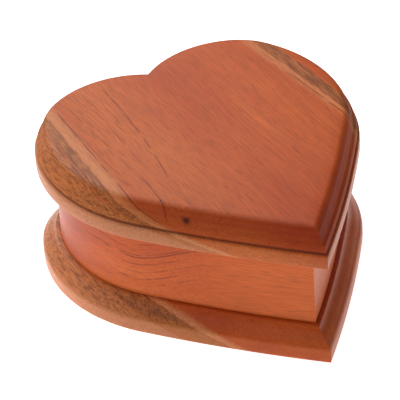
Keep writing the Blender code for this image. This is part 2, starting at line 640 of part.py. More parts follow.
def main():
    for old in list(bpy.data.objects):
        bpy.data.objects.remove(old)
    wood = finish_of("wood", (0.45, 0.16, 0.06), 0.38)
    felt = finish_of("felt", (0.12, 0.02, 0.03), 0.95)
    acrylic = finish_of("acrylic", (0.9, 0.93, 0.95), 0.08, alpha=0.35)
    brass = finish_of("brass", (0.78, 0.57, 0.25), 0.3, 1.0)
    steel = finish_of("steel", (0.62, 0.63, 0.65), 0.3, 1.0)
    cast = finish_of("cast_metal", (0.5, 0.5, 0.5), 0.5, 1.0)
    plastic = finish_of("white_plastic", (0.8, 0.8, 0.78), 0.45)

    lid_axis = joint_axis("lid_axis", (0, HINGE_Y, HINGE_Z))
    wheel_axis = joint_axis("great_wheel_axis", (SPRING_X, SPRING_Y, CROWN_PITCH_Z))
    key_axis = joint_axis("winding_axis", (SPRING_X, SPRING_Y, RECESS_TOP))
    cylinder_axis = joint_axis("cylinder_axis", (PINION_X, SPRING_Y, CYLINDER_Z))
    governor_axis = joint_axis("governor_axis", (WORM_WHEEL_X, GOVERNOR_Y, CYLINDER_Z))
    fan_axis = joint_axis("fan_axis", (WORM_WHEEL_X, WORM_Y, CYLINDER_Z))
    rod_axis = joint_axis("stop_rod_axis", (ROD_X, ROD_Y, BODY_TOP))

    make_case(wood, felt, acrylic, brass, lid_axis)
    make_hinges(brass, steel, lid_axis)
    make_bedplate(cast)
    make_spring_drive(brass, steel, cast, wheel_axis, key_axis)
    make_cylinder(brass, steel, cylinder_axis)
    make_comb(steel, brass)
    make_governor(brass, steel, plastic, governor_axis, fan_axis)
    make_stop_rod(steel, rod_axis)
    make_movement_screws(steel)


main()
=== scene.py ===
"""The looks of the heart-shaped wind-up music box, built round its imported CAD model.

Lengths are written in millimetres and turned into metres as each mesh is made. The heart's tip points
along -Y, so the grain of the lid and the base runs along Y, and the grain of the body runs round its wall.
"""

import bmesh
import bpy
import numpy as np
from mathutils import Matrix, Vector
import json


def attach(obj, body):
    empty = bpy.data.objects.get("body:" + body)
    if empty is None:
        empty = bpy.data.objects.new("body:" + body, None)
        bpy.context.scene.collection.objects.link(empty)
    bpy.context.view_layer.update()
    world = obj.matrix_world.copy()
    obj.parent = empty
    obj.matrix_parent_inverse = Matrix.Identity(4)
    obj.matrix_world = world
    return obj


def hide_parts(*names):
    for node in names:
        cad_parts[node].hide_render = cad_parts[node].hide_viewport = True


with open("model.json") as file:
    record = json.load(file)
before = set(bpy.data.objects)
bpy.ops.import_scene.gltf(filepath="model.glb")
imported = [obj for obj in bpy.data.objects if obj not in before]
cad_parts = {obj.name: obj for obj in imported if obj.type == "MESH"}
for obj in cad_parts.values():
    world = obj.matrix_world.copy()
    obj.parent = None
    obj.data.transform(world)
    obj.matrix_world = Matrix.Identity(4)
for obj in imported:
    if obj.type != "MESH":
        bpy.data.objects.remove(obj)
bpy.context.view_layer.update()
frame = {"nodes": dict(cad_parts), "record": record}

MM = 0.001

# The heart outline, as in the CAD: half of it, as arcs (radius, length) from the cleft to the tip
CLEFT_Y = 78.37
CLEFT_HEADING = np.radians(31.5)
ARCS = ((50.6, 51.6), (36.9, 20.8), (75.1, 89.3))
TIP_ARC_RADIUS = 686.0
FINE_STEPS = (44, 20, 64, 36)

BASE_TOP = 15.0
BODY_LOW, BODY_TOP = 15.3, 51.5
LID_LOW, LID_TOP = 51.8, 71.2
BODY_INSET, CAVITY_INSET = 8.8, 17.8
BODY_CHAMFER = 0.3
SPRING_Y = 30.0
DIVIDER_FRONT = 2.0

# Both hinges: their axis, the half length and front edge of their leaves, and their screws' pilot holes
HINGE_X, HINGE_Y, HINGE_Z = 27.0, 79.2, 51.65
LEAF_HALF, LEAF_FRONT = 8.3, 68.9
PILOT_Y, PILOT_OFFSET, PILOT_RADIUS, PILOT_DEPTH = 72.6, 5, 1.1, 8.6

# The holes in the base: the key's recess, the winding arbor's hole, and the movement's three screws
KEY_RECESS_RADIUS, KEY_RECESS_TOP = 16.2, 9.0
ARBOR_HOLE_RADIUS = 2.5
MOVEMENT_SCREWS = ((-11.8, 12.7), (-11.8, 47.3), (36.3, 46.8))
SCREW_HEAD_RADIUS, SCREW_HEAD_TOP = 3.2, 4.4
SCREW_HOLE_RADIUS = 1.9

CAMERA_AZIMUTH, CAMERA_ELEVATION, CAMERA_ROLL = -28.41, 35.0, -3.44
CAMERA_TARGET = (-4.76, 16.78, 30.0)
CAMERA_DISTANCE_M = 1.725
CAMERA_LENS = 335.9
CAMERA_SHIFT = (-0.0083, 0.0098)

# The room's light: where its bright patch is, how tight and bright it is, and the rest of the room
BRIGHT_PATCH = (-0.3, 0.55, 0.78)
BRIGHT_FALLOFF, BRIGHT_LEVEL = 4.0, 2.7
DARK_LEVEL = 0.06
FLOOR_GLOW = 0.9


# ---------------------------------------------------------------- outlines and meshes


def heart_half(inset, steps=FINE_STEPS):
    """Points of the right half of the outline, moved inwards by inset, from the cleft to the tip."""
    at, heading = np.array([0.0, CLEFT_Y]), CLEFT_HEADING
    arcs = []
    for radius, length in ARCS + ((TIP_ARC_RADIUS, 0.0),):
        centre = at + radius * np.array([np.sin(heading), -np.cos(heading)])
        end = heading - length / radius
        arcs.append([centre, radius - inset, heading, end])
        at = centre + radius * np.array([-np.sin(end), np.cos(end)])
        heading = end
    arcs[0][2] = np.arcsin(arcs[0][0][0] / arcs[0][1])
    arcs[-1][3] = -np.pi + np.arcsin(arcs[-1][0][0] / -arcs[-1][1])
    points = []
    for (centre, radius, begin, end), count in zip(arcs, steps):
        turn = np.linspace(begin, end, count + 1)[:-1]
        points.append(centre + radius * np.c_[-np.sin(turn), np.cos(turn)])
    centre, radius, _, end = arcs[-1]
    points.append((centre + radius * np.array([-np.sin(end), np.cos(end)]))[None])
    points = np.vstack(points)
    points[0, 0] = points[-1, 0] = 0.0
    return points


def heart(inset):
    """The closed outline, counter-clockwise from above, starting just left of the cleft."""
    half = heart_half(inset)
    return np.vstack([half[1:-1] * (-1, 1), half[::-1]])


def arc(start, end, bulge, count):
    """Points from start to end along a curve that swells outwards by bulge; start is left out."""
    start, end = np.array(start, float), np.array(end, float)
    t = np.linspace(0, 1, count + 1)[1:, None]
    along = end - start
    side = np.array([-along[1], along[0]])
    side /= np.hypot(*side)
    return [tuple(p) for p in start + along * t + side * bulge * 4 * t * (1 - t)]


def new_object(name, bm, material, smooth=35):
    mesh = bpy.data.meshes.new(name)
    bm.to_mesh(mesh)
    bm.free()
    mesh.shade_smooth()
    mesh.set_sharp_from_angle(angle=np.radians(smooth))
    made = bpy.data.objects.new(name, mesh)
    bpy.context.scene.collection.objects.link(made)
    if material is not None:
        mesh.materials.append(material)
    return made


def loft(loops, ring=False):
    """A bmesh of equal loops of (x, y, z) in mm, joined in turn. Its ends are filled, or joined as a ring.

    U runs round the first loop in metres, from its middle, and V is the loop's height.
    """
    bm = bmesh.new()
    layer = bm.loops.layers.uv.new("UVMap")
    rows = [[bm.verts.new(Vector(p) * MM) for p in loop] for loop in loops]
    guide = np.array(loops[0], float)[:, :2]
    steps = np.hypot(*(np.roll(guide, -1, 0) - guide).T)
    around = np.r_[0, np.cumsum(steps)] - steps.sum() / 2
    heights = np.array([np.mean(loop, axis=0)[2] for loop in loops])
    pairs = list(range(len(rows) - 1)) + ([-1] if ring else [])
    for k in pairs:
        low, high = rows[k], rows[k + 1]
        for i in range(len(low)):
            j = (i + 1) % len(low)
            face = bm.faces.new((low[i], low[j], high[j], high[i]))
            us = (around[i], around[i + 1], around[i + 1], around[i])
            vs = (heights[k], heights[k], heights[k + 1], heights[k + 1])
            for corner, u, v in zip(face.loops, us, vs):
                corner[layer].uv = (u * MM, v * MM)
    if not ring:
        bm.faces.new(reversed(rows[0]))
        bm.faces.new(rows[-1])
    bmesh.ops.recalc_face_normals(bm, faces=bm.faces)
    return bm


def moulded(profile):
    """The heart lofted through a profile of (inset, z) from the bottom up."""
    return loft([[(x, y, z) for x, y in heart(inset)] for inset, z in profile])


def circle(radius, count, centre=(0, 0)):
    turn = 2 * np.pi * np.arange(count) / count
    return np.c_[centre[0] + radius * np.cos(turn), centre[1] + radius * np.sin(turn)]


def cylinder(radius, low, high, centre, count=48):
    return loft([[(x, y, z) for x, y in circle(radius, count, centre)] for z in (low, high)])


def block(x, y, z):
    corners = ((x[0], y[0]), (x[1], y[0]), (x[1], y[1]), (x[0], y[1]))
    return loft([[(a, b, height) for a, b in corners] for height in z])


def cut(piece, shapes):
    """Cuts bmesh shapes from a piece and applies the cuts."""
    helpers = [new_object("cutter", shape, None) for shape in shapes]
    for helper in helpers:
        modifier = piece.modifiers.new("cut", "BOOLEAN")
        modifier.operation = "DIFFERENCE"
        modifier.solver = "EXACT"
        modifier.object = helper
    apply_modifiers(piece)
    for helper in helpers:
        bpy.data.objects.remove(helper)


def apply_modifiers(piece):
    graph = bpy.context.evaluated_depsgraph_get()
    graph.update()
    mesh = bpy.data.meshes.new_from_object(piece.evaluated_get(graph))
    old = piece.data
    piece.modifiers.clear()
    piece.data = mesh
    bpy.data.meshes.remove(old)


# ---------------------------------------------------------------- material nodes


class Nodes:
    """A material whose node tree is built by short calls. Sockets and plain values can be mixed freely."""

    def __init__(self, name):
        self.material = bpy.data.materials.new(name)
        self.material.use_nodes = True
        self.tree = self.material.node_tree
        self.shader = self.tree.nodes["Principled BSDF"]

    def node(self, kind, **settings):
        made = self.tree.nodes.new(kind)
        for key, value in settings.items():
            setattr(made, key, value)
        return made

    def put(self, socket, value):
        if isinstance(value, bpy.types.NodeSocket):
            self.tree.links.new(value, socket)
        elif value is not None:
            socket.default_value = value

    def math(self, operation, a, b=None, c=None):
        made = self.node("ShaderNodeMath", operation=operation)
        for socket, value in zip(made.inputs, (a, b, c)):
            self.put(socket, value)
        return made.outputs[0]

    def add(self, a, b):
        return self.math("ADD", a, b)

    def times(self, a, b):
        return self.math("MULTIPLY", a, b)

    def vector(self, x, y, z):
        made = self.node("ShaderNodeCombineXYZ")
        for socket, value in zip(made.inputs, (x, y, z)):
            self.put(socket, value)
        return made.outputs[0]

    def split(self, vector):
        made = self.node("ShaderNodeSeparateXYZ")
        self.put(made.inputs[0], vector)
        return made.outputs

    def noise(self, vector, scale=1.0, detail=2.0, roughness=0.5, distortion=0.0):
        made = self.node("ShaderNodeTexNoise")
        self.put(made.inputs["Vector"], vector)
        made.inputs["Scale"].default_value = scale
        made.inputs["Detail"].default_value = detail
        made.inputs["Roughness"].default_value = roughness
        made.inputs["Distortion"].default_value = distortion
        return made.outputs["Fac"]

    def mix(self, share, a, b, blend="MIX"):
        made = self.node("ShaderNodeMix", data_type="RGBA", blend_type=blend)
        self.put(made.inputs["Factor"], share)
        for socket, value in ((made.inputs[6], a), (made.inputs[7], b)):
            self.put(socket, value if isinstance(value, bpy.types.NodeSocket) else (*value, 1))
        return made.outputs[2]

    def shade(self, colour, light):
        """The colour made lighter or darker by a factor."""
        return self.mix(1.0, colour, self.vector(light, light, light), "MULTIPLY")

    def ramp(self, value, stops):
        made = self.node("ShaderNodeValToRGB")
        self.put(made.inputs[0], value)
        points = made.color_ramp.elements
        while len(points) < len(stops):
            points.new(0.5)
        for point, (place, colour) in zip(points, stops):
            point.position = place
            point.color = (*colour, 1)
        return made.outputs[0]

    def step(self, value, low, high):
        """0 below low and 1 above high, with a smooth rise between. It falls if high is below low."""
        made = self.node("ShaderNodeMapRange", interpolation_type="SMOOTHSTEP")
        first, last = (0.0, 1.0) if low < high else (1.0, 0.0)
        for key, number in enumerate((min(low, high), max(low, high), first, last)):
            made.inputs[key + 1].default_value = number
        self.put(made.inputs[0], value)
        return made.outputs[0]

    def window(self, value, low, high, soft):
        """1 between low and high, with soft ends."""
        rise = self.step(value, low - soft, low + soft)
        return self.times(rise, self.step(value, high + soft, high - soft))

    def bump(self, height, distance, strength=1.0):
        made = self.node("ShaderNodeBump")
        made.inputs["Strength"].default_value = strength
        made.inputs["Distance"].default_value = distance
        self.put(made.inputs["Height"], height)
        self.put(self.shader.inputs["Normal"], made.outputs[0])

    def set(self, **values):
        for key, value in values.items():
            self.put(self.shader.inputs[key.replace("_", " ")], value)
        return self.material


def rgb(red, green, blue):
    """A colour given as it looks on a screen, 0 to 255, as linear light."""
    share = np.array([red, green, blue]) / 255
    linear = np.where(share < 0.04045, share / 12.92, ((share + 0.055) / 1.055) ** 2.4)
    return tuple(float(v) for v in linear)


HEART_DARK = rgb(182, 74, 25)
HEART_MID = rgb(202, 92, 35)
HEART_LIGHT = rgb(214, 108, 47)
HEART_PALE = rgb(236, 136, 60)
SAP_YELLOW = rgb(226, 162, 108)
STREAK = rgb(194, 122, 66)
STREAK_PALE = rgb(206, 138, 94)
STREAK_DARK = rgb(92, 38, 0)
LINE = rgb(134, 50, 14)
PORE = rgb(128, 42, 10)
KNOT = rgb(64, 22, 6)
# The colour of the painted shade in the lid's quirk groove.
GROOVE_SHADE = rgb(96, 32, 10)
# The tint of the painted shade.
SHADE_TINT = (0.66, 0.34, 0.08)


class Wood(Nodes):
    """Lacquered red-brown wood. Its grain runs along one of x, y, z, u or v. Distances are in mm."""

    def __init__(self, name, along, across, depth):
        super().__init__(name)
        place = self.node("ShaderNodeTexCoord")
        places = dict(zip("xyz", self.split(place.outputs["Object"])))
        places.update(zip("uv", self.split(place.outputs["UV"])))
        self.along = self.times(places[along], 1 / MM)
        self.across = self.times(places[across], 1 / MM)
        self.depth = self.times(places[depth], 1 / MM)
        normal = dict(zip("xyz", self.split(place.outputs["Normal"])))
        self.facing = normal.get(along)
        self.height = self.times(places["z"], 1 / MM)
        self.dull = None

    def grain(self, wide, long, detail=2.0, roughness=0.5):
        """Noise whose features are about that wide and long, in mm. Its middle value is 0.5."""
        scales = ((self.across, wide), (self.along, long), (self.depth, wide))
        place = self.vector(*(self.times(distance, 1 / size) for distance, size in scales))
        return self.noise(place, detail=detail, roughness=roughness)

    def centred(self, noise, size):
        return self.times(self.math("SUBTRACT", noise, 0.5), size)

    def heartwood(self):
        """The colour of plain heartwood, whose grain wanders a little along the board."""
        self.across = self.add(self.across, self.centred(self.grain(60.0, 90.0, detail=1.0), 7.0))
        tone = self.add(self.times(self.grain(34.0, 110.0), 0.72), self.times(self.grain(5.0, 130.0), 0.28))
        self.colour = self.ramp(tone, ((0.3, HEART_DARK), (0.5, HEART_MID), (0.7, HEART_LIGHT)))
        self.fibre = self.grain(0.5, 14.0, detail=3.0, roughness=0.7)
        self.pore = self.step(self.grain(0.42, 7.0, detail=1.0), 0.54, 0.74)

    def paint(self, share, colour):
        self.colour = self.mix(share, self.colour, colour)

    def hatch(self, share, colour, amount, wide, long):
        """Dashes along the grain, about that wide and long."""
        dash = self.step(self.grain(wide, long, detail=3.0, roughness=0.7), 0.42, 0.62)
        self.paint(self.times(self.times(share, dash), amount), colour)

    def paint_shade(self, share):
        """Painted shade: mixes in a darker, redder copy of the colour by a share, in place of the shade in
        the hollows of a moulding and on faces that get less light.
        """
        self.colour = self.mix(share, self.colour, self.mix(1.0, self.colour, SHADE_TINT, "MULTIPLY"))

    def lacquer(self, shine=0.36):
        """Adds fibre, pores and dark end grain to the colour, and the finish over them."""
        self.colour = self.shade(self.colour, self.add(self.centred(self.fibre, 0.95), 1.0))
        self.paint(self.times(self.pore, 0.42), PORE)
        if self.facing is not None:
            end = self.math("ABSOLUTE", self.facing)
            self.colour = self.shade(self.colour, self.math("MULTIPLY_ADD", end, -0.25, 1.0))
        self.bump(self.math("MULTIPLY_ADD", self.pore, -0.7, self.fibre), 0.00005, 0.4)
        rough = self.math("MULTIPLY_ADD", self.fibre, 0.16, shine - 0.08)
        if self.dull is not None:
            rough = self.math("MULTIPLY_ADD", self.dull, 0.4, rough)
        return self.set(Base_Color=self.colour, Roughness=rough, IOR=1.45, Specular_IOR_Level=0.25)


def vein(wood, level, at, low, high, width=0.3, amount=0.8):
    """A thin dark line where level, in mm, passes a value. It fades out at both ends of its stretch."""
    distance = wood.math("ABSOLUTE", wood.math("SUBTRACT", level, at))
    near = wood.step(distance, width * 2, width * 0.4)
    stretch = wood.window(wood.along, low, high, 6.0)
    broken = wood.step(wood.grain(8.0, 9.0, detail=2.0), 0.36, 0.56)
    wood.paint(wood.times(wood.times(near, stretch), wood.times(broken, amount)), LINE)


def knot(wood, place, at, size):
    """A small dark knot at a point, a little longer along the grain."""
    far = None
    for value, centre, reach in zip(place, at, (0.8, 1.3, 0.8)):
        offset = wood.times(wood.math("SUBTRACT", value, centre), 1 / (size * reach))
        square = wood.times(offset, offset)
        far = square if far is None else wood.add(far, square)
    far = wood.add(far, wood.centred(wood.grain(0.5, 0.5), 1.0))
    wood.paint(wood.times(wood.step(far, 5.0, 1.0), 0.45), LINE)
    wood.paint(wood.times(wood.step(far, 1.6, 0.3), 0.85), KNOT)


def streaked_edge(wood, out, strip, streak, streak_end, beyond, clear):
    """Along a board's edge: a yellow strip, then a porous brown streak, then mixed wood beyond it.

    The dark pores fade out between the two heights in clear.
    """
    porous = wood.step(wood.height, *clear)
    ragged = wood.add(out, wood.centred(wood.grain(1.4, 9.0, detail=3.0, roughness=0.6), 3.6))
    wood.paint(wood.times(wood.window(ragged, strip, streak, 3.0), 0.55), SAP_YELLOW)
    zone = wood.window(ragged, streak, streak_end, 0.7)
    wood.paint(wood.times(zone, 0.75), STREAK)
    wood.hatch(wood.times(zone, porous), STREAK_DARK, 0.45, wide=2.4, long=16.0)
    wood.hatch(wood.times(zone, porous), STREAK_DARK, 0.62, wide=0.42, long=9.0)
    border = wood.window(ragged, streak - 0.3, streak + 0.5, 0.3)
    wood.paint(wood.times(border, 0.35), STREAK_DARK)
    outside = wood.step(ragged, streak_end - 0.5, streak_end + 1.5)
    wood.paint(wood.times(outside, beyond), wood.mix(porous, STREAK_PALE, STREAK))
    patches = wood.times(outside, wood.step(wood.grain(0.8, 9.0, detail=3.0, roughness=0.7), 0.44, 0.62))
    wood.paint(wood.times(wood.times(patches, porous), beyond * 0.8), STREAK_DARK)


def lid_wood():
    """Heartwood with a sapwood layer that runs along both edges, and dives under the board on its left."""
    wood = Wood("lid_wood", "y", "x", "z")
    x, y, z = wood.across, wood.along, wood.depth
    wood.heartwood()
    sunk = wood.times(wood.math("MAXIMUM", wood.math("SUBTRACT", LID_TOP, z), 0.0), 1 / 17)
    dive = wood.times(wood.math("POWER", sunk, 1.8), 28.0)
    left = wood.add(wood.math("MULTIPLY_ADD", y, 0.075, wood.times(x, -1.0)), dive)
    right = wood.math("MULTIPLY_ADD", y, 0.08, x)
    wood.paint(wood.times(wood.window(left, 22.0, 58.0, 16.0), 0.38), HEART_PALE)
    wood.paint(wood.times(wood.window(right, 34.0, 62.0, 16.0), 0.14), HEART_PALE)
    wood.hatch(wood.window(left, 16.0, 58.0, 14.0), LINE, 0.3, wide=0.5, long=18.0)
    clear = (58.6, 60.5)
    streaked_edge(wood, left, strip=57.0, streak=62.8, streak_end=67.5, beyond=0.75, clear=clear)
    streaked_edge(wood, right, strip=56.0, streak=59.6, streak_end=65.5, beyond=0.0, clear=clear)
    vein(wood, left, 56.6, -30.0, 66.0)
    vein(wood, left, 68.4, 4.0, 46.0)
    vein(wood, right, 56.7, -12.0, 32.0)
    curved = wood.times(wood.times(y, y), 0.0013)
    vein(wood, wood.add(wood.math("MULTIPLY_ADD", y, -0.216, x), curved), -33.6, -8.0, 72.0)
    curved = wood.times(wood.times(y, y), 0.001)
    vein(wood, wood.add(wood.math("MULTIPLY_ADD", y, -0.09, x), curved), -44.6, -28.0, -4.0)
    vein(wood, x, -45.7, -10.0, 66.0, width=0.24, amount=0.65)
    vein(wood, x, -52.6, -4.0, 60.0, width=0.22, amount=0.55)
    vein(wood, left, 40.4, 4.0, 72.0, width=0.22, amount=0.5)
    knot(wood, (x, y, z), (-41.7, -34.7, 65.5), 1.5)
    knot(wood, (x, y, z), (-46.9, -21.8, LID_TOP), 0.5)
    knot(wood, (x, y, z), (-46.6, -24.3, LID_TOP), 0.5)
    wood.dull = wood.window(z, 58.7, 70.2, 0.6)
    # Painted shade: the cove and the dark roll below the top's edge are darkened. bare is the share of it,
    # which is less on the left where the pale streak runs.
    bare = wood.math("MULTIPLY_ADD", wood.step(left, 58.0, 63.0), -0.7, 1.0)
    wood.paint_shade(wood.times(wood.times(wood.window(z, 66.0, 70.8, 1.6), bare), 0.75))
    wood.paint_shade(wood.times(wood.times(wood.window(z, 59.5, 67.0, 1.0), bare), 0.45))
    # Painted shade: the lid above its band grows darker towards the tip.
    wood.paint_shade(wood.times(wood.times(wood.step(y, 5.0, -85.0), wood.step(z, 58.5, 60.0)), 0.5))
    # Painted shade: a dark line along the quirk groove below the cove.
    wood.paint(wood.times(wood.window(z, 59.1, 60.5, 0.4), 0.75), GROOVE_SHADE)
    return wood.lacquer()


def base_wood():
    """Heartwood with a slanting sapwood layer on the left."""
    wood = Wood("base_wood", "y", "x", "z")
    x, y, z = wood.across, wood.along, wood.depth
    wood.heartwood()
    slant = wood.times(wood.math("SUBTRACT", BASE_TOP, z), 1.65)
    left = wood.add(wood.math("MULTIPLY_ADD", y, 0.075, wood.times(x, -1.0)), slant)
    streaked_edge(wood, left, strip=46.0, streak=51.8, streak_end=66.0, beyond=0.75, clear=(5.0, 11.0))
    # Painted shade: darker towards the top of the base, next to the body.
    wood.paint_shade(wood.times(wood.step(z, 9.0, 14.5), 0.22))
    return wood.lacquer()


# The wall's dark lines: height, where each begins and ends along the wall, and how dark it is
BODY_VEINS = (
    (35.3, -112, -56, 0.9),
    (36.6, -96, -60, 0.6),
    (23.3, -98, -66, 0.7),
    (31.5, -100, -58, 0.5),
    (42.5, -92, -60, 0.7),
    (40.0, -110, -80, 0.5),
    (27.2, -90, -50, 0.5),
    (19.5, -84, -40, 0.5),
)


def body_wood():
    """Wood whose grain runs round the wall. On the left its lines dip, as on a flat-sawn board. Painted
    light makes it paler towards the tip, and painted shade makes it darker at its left end.
    """
    wood = Wood("body_wood", "u", "v", "v")
    rise_right = wood.times(wood.step(wood.along, -88.0, -46.0), -11.5)
    rise_left = wood.times(wood.step(wood.along, -86.0, -108.0), -3.0)
    wood.across = wood.add(wood.across, wood.add(rise_right, rise_left))
    level, turn = wood.across, wood.along
    wood.heartwood()
    for at, low, high, amount in BODY_VEINS:
        vein(wood, level, at, low, high, amount=amount)
    # Painted light: paler towards the tip.
    wood.paint(wood.times(wood.step(turn, -75.0, -15.0), 0.4), HEART_LIGHT)
    # Painted shade: darker towards the left end.
    wood.paint_shade(wood.times(wood.step(turn, -92.0, -135.0), 0.7))
    return wood.lacquer()


def plain_wood():
    wood = Wood("inner_wood", "x", "z", "y")
    wood.heartwood()
    return wood.lacquer(shine=0.5)


def metal(name, colour, roughness, brushed=0.0, spots=0.12):
    """A bare or plated metal with fine scratches along X and a slightly uneven polish."""
    n = Nodes(name)
    place = n.node("ShaderNodeTexCoord").outputs["Object"]
    x, y, z = n.split(place)
    stretched = n.vector(n.times(x, 300.0), n.times(y, 4000.0), n.times(z, 4000.0))
    scratch = n.noise(stretched, detail=2.0)
    cloud = n.noise(place, scale=260.0, detail=3.0)
    shade = n.math("MULTIPLY_ADD", n.math("SUBTRACT", cloud, 0.5), spots * 2, 1.0)
    tint = n.mix(1.0, colour, n.vector(shade, shade, shade), "MULTIPLY")
    rough = n.math("MULTIPLY_ADD", cloud, 0.14, roughness - 0.07)
    rough = n.math("MULTIPLY_ADD", scratch, 0.1 + brushed * 0.2, rough)
    n.bump(n.math("MULTIPLY_ADD", scratch, brushed, cloud), 0.00002, 0.35)
    return n.set(Base_Color=tint, Roughness=rough, Metallic=1.0)


def cast(name, colour):
    """A matt, fine-grained casting."""
    n = Nodes(name)
    place = n.node("ShaderNodeTexCoord").outputs["Object"]
    grit = n.noise(place, scale=2600.0, detail=3.0)
    cloud = n.noise(place, scale=130.0, detail=3.0)
    tint = n.ramp(cloud, ((0.3, tuple(c * 0.82 for c in colour)), (0.7, colour)))
    n.bump(grit, 0.00006, 0.6)
    return n.set(Base_Color=tint, Roughness=n.math("MULTIPLY_ADD", grit, 0.2, 0.38), Metallic=1.0)


def felt(name, colour):
    """Short matted wool: a soft nap, paler where fibres catch the light."""
    n = Nodes(name)
    place = n.node("ShaderNodeTexCoord").outputs["Object"]
    nap = n.noise(place, scale=1400.0, detail=5.0, roughness=0.7, distortion=0.8)
    patch = n.noise(place, scale=70.0, detail=3.0)
    shade = n.math("MULTIPLY_ADD", nap, 0.9, n.math("MULTIPLY_ADD", patch, 0.5, 0.25))
    tint = n.mix(1.0, colour, n.vector(shade, shade, shade), "MULTIPLY")
    n.bump(nap, 0.0004, 0.8)
    n.set(Base_Color=tint, Roughness=n.math("MULTIPLY_ADD", nap, 0.1, 0.85))
    return n.set(Sheen_Weight=0.6, Sheen_Roughness=0.4, Sheen_Tint=(0.9, 0.5, 0.5, 1))


def acrylic(name):
    """Clear sheet with faint haze and hairline scratches."""
    n = Nodes(name)
    place = n.node("ShaderNodeTexCoord").outputs["Object"]
    haze = n.noise(place, scale=90.0, detail=4.0)
    n.bump(haze, 0.00002, 0.1)
    n.set(Roughness=n.math("MULTIPLY_ADD", haze, 0.05, 0.01))
    return n.set(Base_Color=(0.97, 0.985, 0.99, 1), Transmission_Weight=1.0, IOR=1.49)


def plastic(name, colour):
    n = Nodes(name)
    place = n.node("ShaderNodeTexCoord").outputs["Object"]
    cloud = n.noise(place, scale=300.0, detail=2.0)
    tint = n.ramp(cloud, ((0.3, tuple(c * 0.92 for c in colour)), (0.7, colour)))
    return n.set(Base_Color=tint, Roughness=n.math("MULTIPLY_ADD", cloud, 0.12, 0.3))


# ---------------------------------------------------------------- the case

# Profiles as (inset, z), from the bottom up
LID_PROFILE = (
    [(4.0, LID_LOW), (1.3, LID_LOW), (0.9, LID_LOW + 0.02)]
    + arc((0.9, LID_LOW + 0.02), (0.0, LID_LOW + 0.95), 0.2, 5)
    + [(0.0, 54.5), (0.0, 58.2)]
    + arc((0.0, 58.2), (0.6, 58.8), 0.12, 5)
    + arc((0.6, 58.8), (1.0, 60.3), -0.5, 8)
    + arc((1.0, 60.3), (1.7, 63.1), 0.15, 6)
    + arc((1.7, 63.1), (3.3, 65.2), -0.35, 6)
    + arc((3.3, 65.2), (4.3, 68.6), -0.05, 6)
    + arc((4.3, 68.6), (8.2, 71.1), 0.75, 14)
    + [(10.0, LID_TOP), (13.0, LID_TOP)]
)
BASE_PROFILE = (
    [(4.0, 0.0), (1.5, 0.0), (1.1, 0.02)]
    + arc((1.1, 0.02), (0.2, 1.2), 0.25, 6)
    + [(0.05, 3.0), (0.05, 6.0)]
    + arc((0.05, 6.0), (1.5, 9.0), 0.45, 10)
    + arc((1.5, 9.0), (4.6, 12.0), 0.1, 6)
    + arc((4.6, 12.0), (6.7, 14.6), -0.15, 5)
    + [(6.85, 14.85), (7.1, BASE_TOP), (9.0, BASE_TOP), (12.0, BASE_TOP)]
)


def pilot_holes(side, low, high):
    """The two holes for the screws of one hinge leaf."""
    places = [(side * HINGE_X + step, PILOT_Y) for step in (-PILOT_OFFSET, PILOT_OFFSET)]
    return [cylinder(PILOT_RADIUS, low, high, place, 16) for place in places]


def make_lid(material):
    lid = new_object("lid_wood", moulded(LID_PROFILE), material)
    cuts = []
    for side in (-1, 1):
        x = (side * HINGE_X - LEAF_HALF, side * HINGE_X + LEAF_HALF)
        cuts.append(block(x, (LEAF_FRONT, HINGE_Y), (LID_LOW - 2, HINGE_Z + 1.4)))
        cuts.append(block(x, (HINGE_Y - 2.3, HINGE_Y + 2.3), (LID_LOW - 2.1, HINGE_Z + 2.4)))
        cuts += pilot_holes(side, HINGE_Z, HINGE_Z + PILOT_DEPTH)
    cut(lid, cuts)
    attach(lid, "lid")
    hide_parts("lid")


def make_body(material):
    outside = [(BODY_INSET, z) for z in (BODY_LOW, 27.0, 39.0, BODY_TOP - BODY_CHAMFER)]
    rim = [(BODY_INSET + BODY_CHAMFER, BODY_TOP), (CAVITY_INSET - BODY_CHAMFER, BODY_TOP)]
    inside = [(CAVITY_INSET, z) for z in (BODY_TOP - BODY_CHAMFER, 39.0, 27.0, BODY_LOW)]
    loops = [[(x, y, z) for x, y in heart(inset)] for inset, z in outside + rim + inside]
    body = new_object("body_wood", loft(loops, ring=True), material)
    cuts = []
    for side in (-1, 1):
        x = (side * HINGE_X - LEAF_HALF, side * HINGE_X + LEAF_HALF)
        cuts.append(block(x, (LEAF_FRONT, HINGE_Y + 6), (HINGE_Z - 1.4, LID_LOW + 2)))
        cuts += pilot_holes(side, HINGE_Z - PILOT_DEPTH, HINGE_Z)
    cut(body, cuts)
    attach(body, "root")
    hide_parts("body_ring")


def make_base(material):
    base = new_object("base_wood", moulded(BASE_PROFILE), material)
    cuts = [
        cylinder(KEY_RECESS_RADIUS, -1, KEY_RECESS_TOP, (0, SPRING_Y), 96),
        cylinder(ARBOR_HOLE_RADIUS, KEY_RECESS_TOP - 1, BASE_TOP + 1, (0, SPRING_Y), 32),
    ]
    for at in MOVEMENT_SCREWS:
        cuts.append(cylinder(SCREW_HEAD_RADIUS, -1, SCREW_HEAD_TOP, at, 32))
        cuts.append(cylinder(SCREW_HOLE_RADIUS, -1.5, BASE_TOP + 1, at, 24))
    cut(base, cuts)
    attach(base, "root")
    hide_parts("base_board")


